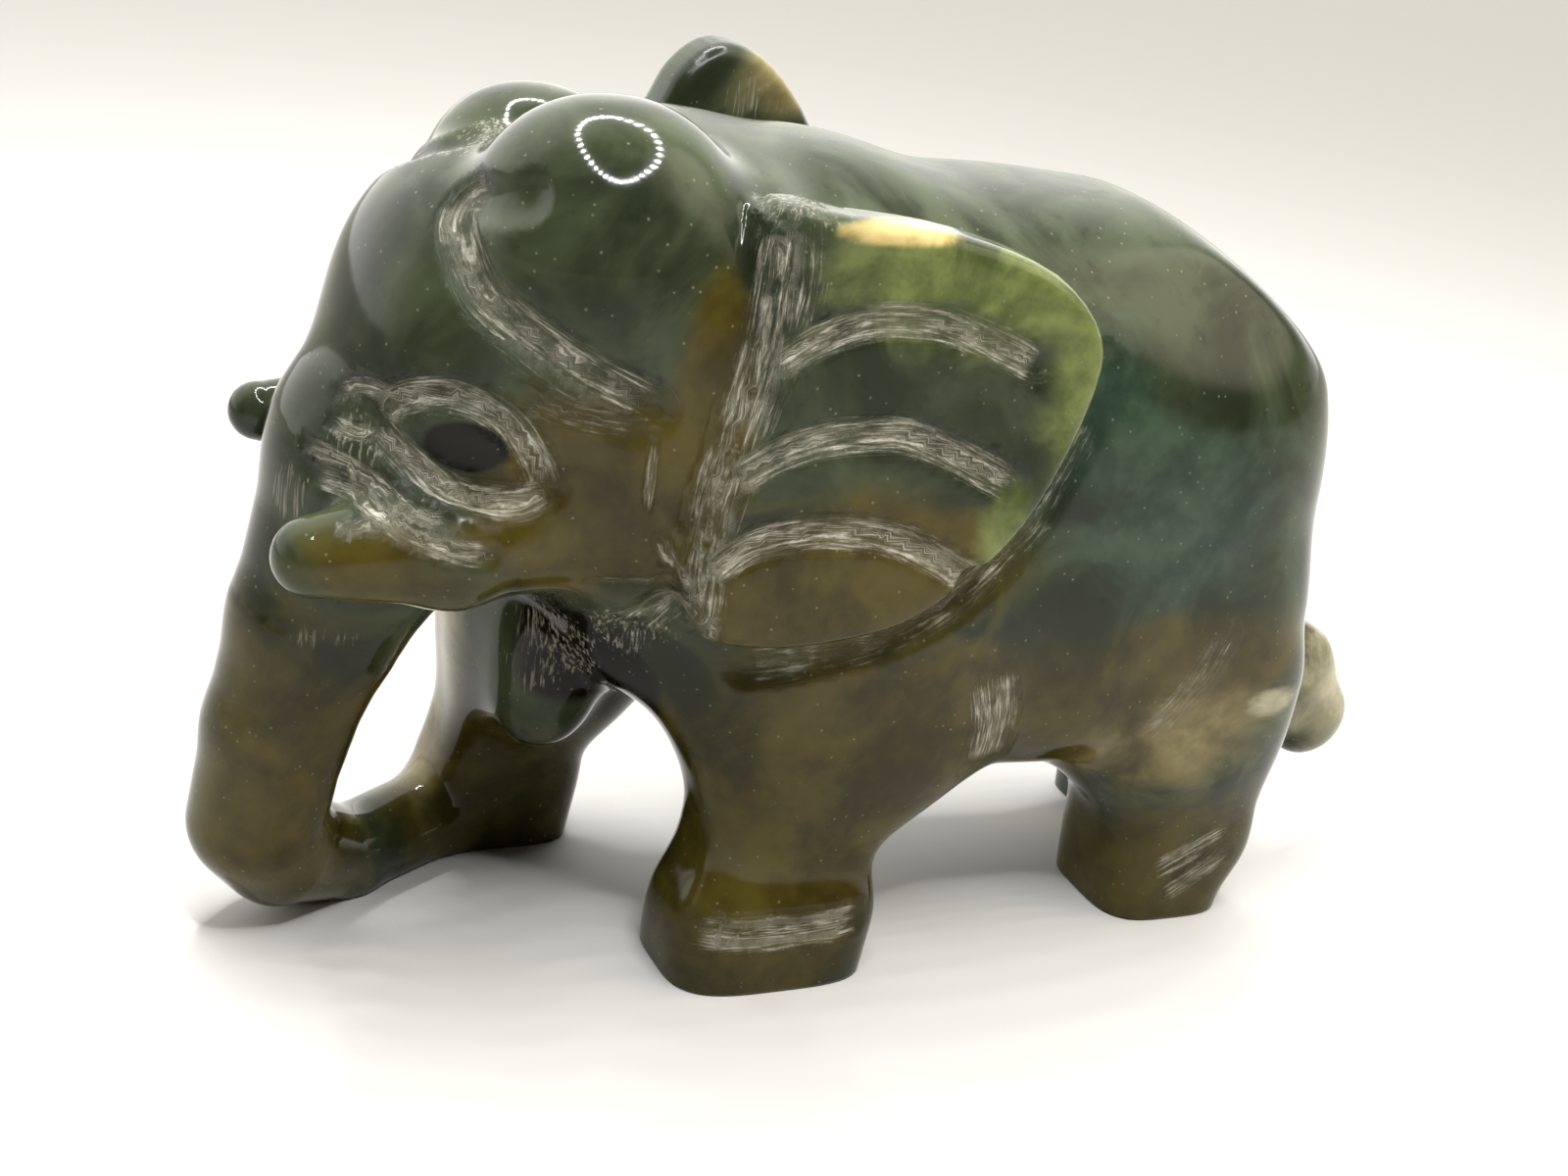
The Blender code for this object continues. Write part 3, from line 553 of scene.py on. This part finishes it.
def polished_stone():
    """Green hardstone, tumbled to a high polish: deep clouded colour under a wet gloss, frosted wheel marks.

    Such stone has an index near 1.61. Its reflection is held below a real polish's, because the pale floor
    would otherwise veil the dark colours.
    """
    stone = bpy.data.materials.new("polished_green_hardstone")
    stone.use_nodes = True
    tree = stone.node_tree
    shader = tree.nodes["Principled BSDF"]
    shader.inputs["IOR"].default_value = 1.61
    shader.inputs["Specular IOR Level"].default_value = 0.16
    shader.inputs["Subsurface Weight"].default_value = 0.08
    shader.inputs["Subsurface Radius"].default_value = (1.0, 0.9, 0.45)
    shader.inputs["Subsurface Scale"].default_value = 0.0012
    place = add_node(tree, "ShaderNodeTexCoord", {}).outputs["Object"]
    mm = add_node(tree, "ShaderNodeMapping", {"Vector": place, "Scale": (1.0 / MM,) * 3}).outputs[0]
    cloud = add_node(tree, "ShaderNodeTexNoise", {"Vector": mm, "Scale": 1 / CLOUD_MM, "Detail": 5.0,
                                                  "Roughness": 0.55, "Distortion": 0.6}).outputs["Fac"]
    mottle = add_node(tree, "ShaderNodeTexNoise", {"Vector": mm, "Scale": 1 / MOTTLE_MM, "Detail": 6.0,
                                                   "Roughness": 0.62}).outputs["Fac"]
    grit = add_node(tree, "ShaderNodeTexNoise", {"Vector": mm, "Scale": 1 / GRIT_MM,
                                                 "Detail": 3.0}).outputs["Fac"]
    sway = add_node(tree, "ShaderNodeMath", {0: cloud, 1: 0.5}, operation="SUBTRACT").outputs[0]

    def spread(value, low, high):
        """Stretch a value to run softly from 0 at the low end to 1 at the high end."""
        return add_node(tree, "ShaderNodeMapRange", {"Value": value, "From Min": low, "From Max": high},
                        interpolation_type="SMOOTHSTEP").outputs[0]

    colour = tint(tree, paint("#22271A"), paint("#3D4430"), spread(cloud, 0.36, 0.66))
    colour = tint(tree, colour, paint("#171B12"), spread(mottle, 0.58, 0.80))
    grain = add_node(tree, "ShaderNodeMath", {0: mottle, 1: 0.5, 2: cloud},
                     operation="MULTIPLY_ADD").outputs[0]
    # Each cover lays its colour over the stone; the "dark" cover also lays the painted shade under the jaw
    for name, (deep, light, ragged, low, high) in COVERS.items():
        depth = add_node(tree, "ShaderNodeAttribute", {}, attribute_name=name).outputs["Fac"]
        own = tint(tree, paint(deep), paint(light), spread(grain, 0.56, 0.96))
        colour = tint(tree, colour, own, edge_of(tree, depth, sway, ragged, low, high))
    fleck = add_node(tree, "ShaderNodeTexVoronoi", {"Vector": mm, "Scale": FLECKS_PER_MM},
                     feature="F1").outputs["Distance"]
    dots = add_node(tree, "ShaderNodeMapRange", {"Value": fleck, "From Min": 0.12, "From Max": 0.05,
                                                 "To Max": 0.35}).outputs[0]
    colour = tint(tree, colour, paint("#8F8E76"), dots)

    bloom = add_node(tree, "ShaderNodeAttribute", {}, attribute_name="bloom").outputs["Fac"]
    run = add_node(tree, "ShaderNodeAttribute", {}, attribute_name="wheel_run").outputs["Vector"]
    strokes = add_node(tree, "ShaderNodeMapping", {"Vector": run, "Scale": STROKES_PER_MM}).outputs[0]
    lines = add_node(tree, "ShaderNodeTexNoise", {"Vector": strokes, "Scale": 1.0, "Detail": 5.0,
                                                  "Roughness": 0.75}).outputs["Fac"]
    broken = add_node(tree, "ShaderNodeMath", {0: mottle, 1: 0.7, 2: lines},
                      operation="MULTIPLY_ADD").outputs[0]
    worn = add_node(tree, "ShaderNodeMath", {0: bloom, 1: 0.6, 2: broken}, operation="MULTIPLY_ADD").outputs[0]
    frosted = spread(worn, 1.21, 1.66)

    dull = add_node(tree, "ShaderNodeAttribute", {}, attribute_name="scratched").outputs["Fac"]
    slant = add_node(tree, "ShaderNodeMapping", {"Vector": mm, "Rotation": HAIRS_TURN,
                                                 "Scale": HAIRS_PER_MM}).outputs[0]
    hairs = add_node(tree, "ShaderNodeTexNoise", {"Vector": slant, "Scale": 1.0, "Detail": 3.0,
                                                  "Roughness": 0.6}).outputs["Fac"]
    dulled = edge_of(tree, dull, sway, *DULLED_EDGE)
    scraped = add_node(tree, "ShaderNodeMath", {0: dulled, 1: 0.30, 2: hairs},
                       operation="MULTIPLY_ADD").outputs[0]
    frosted = add_node(tree, "ShaderNodeMath", {0: frosted, 1: spread(scraped, 0.78, 0.98)},
                       operation="MAXIMUM").outputs[0]
    white = tint(tree, paint("#6E6A58"), paint("#C0BDB0"), spread(lines, 0.44, 0.70))
    colour = tint(tree, colour, white, frosted)
    tree.links.new(shader.inputs["Base Color"], colour)

    polish = add_node(tree, "ShaderNodeMapRange", {"Value": mottle, "To Min": 0.05, "To Max": 0.14}).outputs[0]
    satin = add_node(tree, "ShaderNodeAttribute", {}, attribute_name="satin").outputs["Fac"]
    softened = edge_of(tree, satin, sway, *DULLED_EDGE)
    gloss = add_node(tree, "ShaderNodeMath", {0: softened, 1: 0.22, 2: polish},
                     operation="MULTIPLY_ADD").outputs[0]
    ground = add_node(tree, "ShaderNodeMath", {0: bloom, 1: 0.55, 2: frosted}, operation="MULTIPLY_ADD",
                      use_clamp=True).outputs[0]
    rough = add_node(tree, "ShaderNodeMix", {0: ground, 2: gloss, 3: 0.60}, data_type="FLOAT").outputs[0]
    tree.links.new(shader.inputs["Roughness"], rough)
    height = add_node(tree, "ShaderNodeMath", {0: lines, 1: bloom}, operation="MULTIPLY").outputs[0]
    skin = add_node(tree, "ShaderNodeMath", {0: grit, 1: 0.02, 2: height}, operation="MULTIPLY_ADD").outputs[0]
    bump = add_node(tree, "ShaderNodeBump", {"Height": skin, "Strength": 0.6, "Distance": 0.00012})
    tree.links.new(shader.inputs["Normal"], bump.outputs[0])
    return stone


elephant.data.materials.append(polished_stone())

# The floor: one plain pale matt sheet, far wider than the carving. It lies a hair below the soles, so that
# the two never share a plane. Both sizes are in millimetres.
FLOOR_HALF = 600.0
FLOOR_DROP = 0.02
floor = bpy.data.objects.new("floor", bpy.data.meshes.new("floor"))
corners = [(x * FLOOR_HALF * MM, y * FLOOR_HALF * MM, 0.0) for x, y in ((-1, -1), (1, -1), (1, 1), (-1, 1))]
floor.data.from_pydata(corners, [], [(0, 1, 2, 3)])
floor.location.z = -FLOOR_DROP * MM
bpy.context.scene.collection.objects.link(floor)
pale = bpy.data.materials.new("pale_floor")
pale.use_nodes = True
pale.node_tree.nodes["Principled BSDF"].inputs["Base Color"].default_value = paint("#C6C5C2")
pale.node_tree.nodes["Principled BSDF"].inputs["Roughness"].default_value = 0.8
floor.data.materials.append(pale)

# The ring light: small round lamps on an oval above the carving. It lights the sides that face up, and each
# polished dome shows it as a thin white ring. Places and widths are in millimetres.
RING_LAMPS = 34
RING_MIDDLE = (-4.0, -14.0, 150.0)
RING_HALF = (47.0, 82.0)
RING_AIM = (0.0, 0.0, 20.0)
LAMP_WIDTH = 6.0
LAMP_WATTS = 0.018


def ring_lamp(number):
    """One lamp of the ring, turned to the middle of the carving."""
    turn = 2.0 * math.pi * number / RING_LAMPS
    place = Vector(RING_MIDDLE) + Vector((RING_HALF[0] * math.cos(turn), RING_HALF[1] * math.sin(turn), 0.0))
    name = "ring_lamp_%02d" % number
    lamp = bpy.data.objects.new(name, bpy.data.lights.new(name, "AREA"))
    bpy.context.scene.collection.objects.link(lamp)
    lamp.data.shape = "DISK"
    lamp.data.size = LAMP_WIDTH * MM
    lamp.data.energy = LAMP_WATTS
    lamp.location = place * MM
    lamp.rotation_mode = "QUATERNION"
    lamp.rotation_quaternion = (place - Vector(RING_AIM)).to_track_quat("Z", "Y")


for number in range(RING_LAMPS):
    ring_lamp(number)

# The studio: a bright white wall behind the carving, which gives its back and brow their sheen, a soft lamp
# high on the tail's side, and a dim room above and in front. Colours show as they are lit, with no film curve.
WALL_STARTS = -0.20       # how far a direction points to the back where the wall starts, and where it is full
WALL_FULL = 0.50
ROOM_STRENGTH = 0.17
WALL_STRENGTH = 2.4
LAMP_WAY = (0.70, -0.30, 0.65)
LAMP_EDGE = 0.88          # how squarely a direction meets the lamp where its light starts
LAMP_STRENGTH = 14.0


def studio_world():
    """The light that comes from each direction."""
    world = bpy.data.worlds.new("studio")
    world.use_nodes = True
    tree = world.node_tree
    way = add_node(tree, "ShaderNodeTexCoord", {}).outputs["Generated"]
    axes = add_node(tree, "ShaderNodeSeparateXYZ", {0: way})
    wall = add_node(tree, "ShaderNodeMapRange", {"Value": axes.outputs["Y"], "From Min": WALL_STARTS,
                                                 "From Max": WALL_FULL},
                    interpolation_type="SMOOTHSTEP").outputs[0]
    back = tree.nodes["Background"]
    tree.links.new(back.inputs["Color"], tint(tree, paint("#857D70"), paint("#F4F2EE"), wall))
    glow = add_node(tree, "ShaderNodeMapRange", {"Value": wall, "To Min": ROOM_STRENGTH,
                                                 "To Max": WALL_STRENGTH}).outputs[0]
    toward = add_node(tree, "ShaderNodeVectorMath", {0: way, 1: LAMP_WAY},
                      operation="DOT_PRODUCT").outputs["Value"]
    lamp = add_node(tree, "ShaderNodeMapRange", {"Value": toward, "From Min": LAMP_EDGE, "From Max": 1.0,
                                                 "To Max": LAMP_STRENGTH},
                    interpolation_type="SMOOTHSTEP").outputs[0]
    total = add_node(tree, "ShaderNodeMath", {0: glow, 1: lamp}, operation="ADD").outputs[0]
    tree.links.new(back.inputs["Strength"], total)
    return world


bpy.context.scene.world = studio_world()
bpy.context.scene.view_settings.view_transform = "Standard"
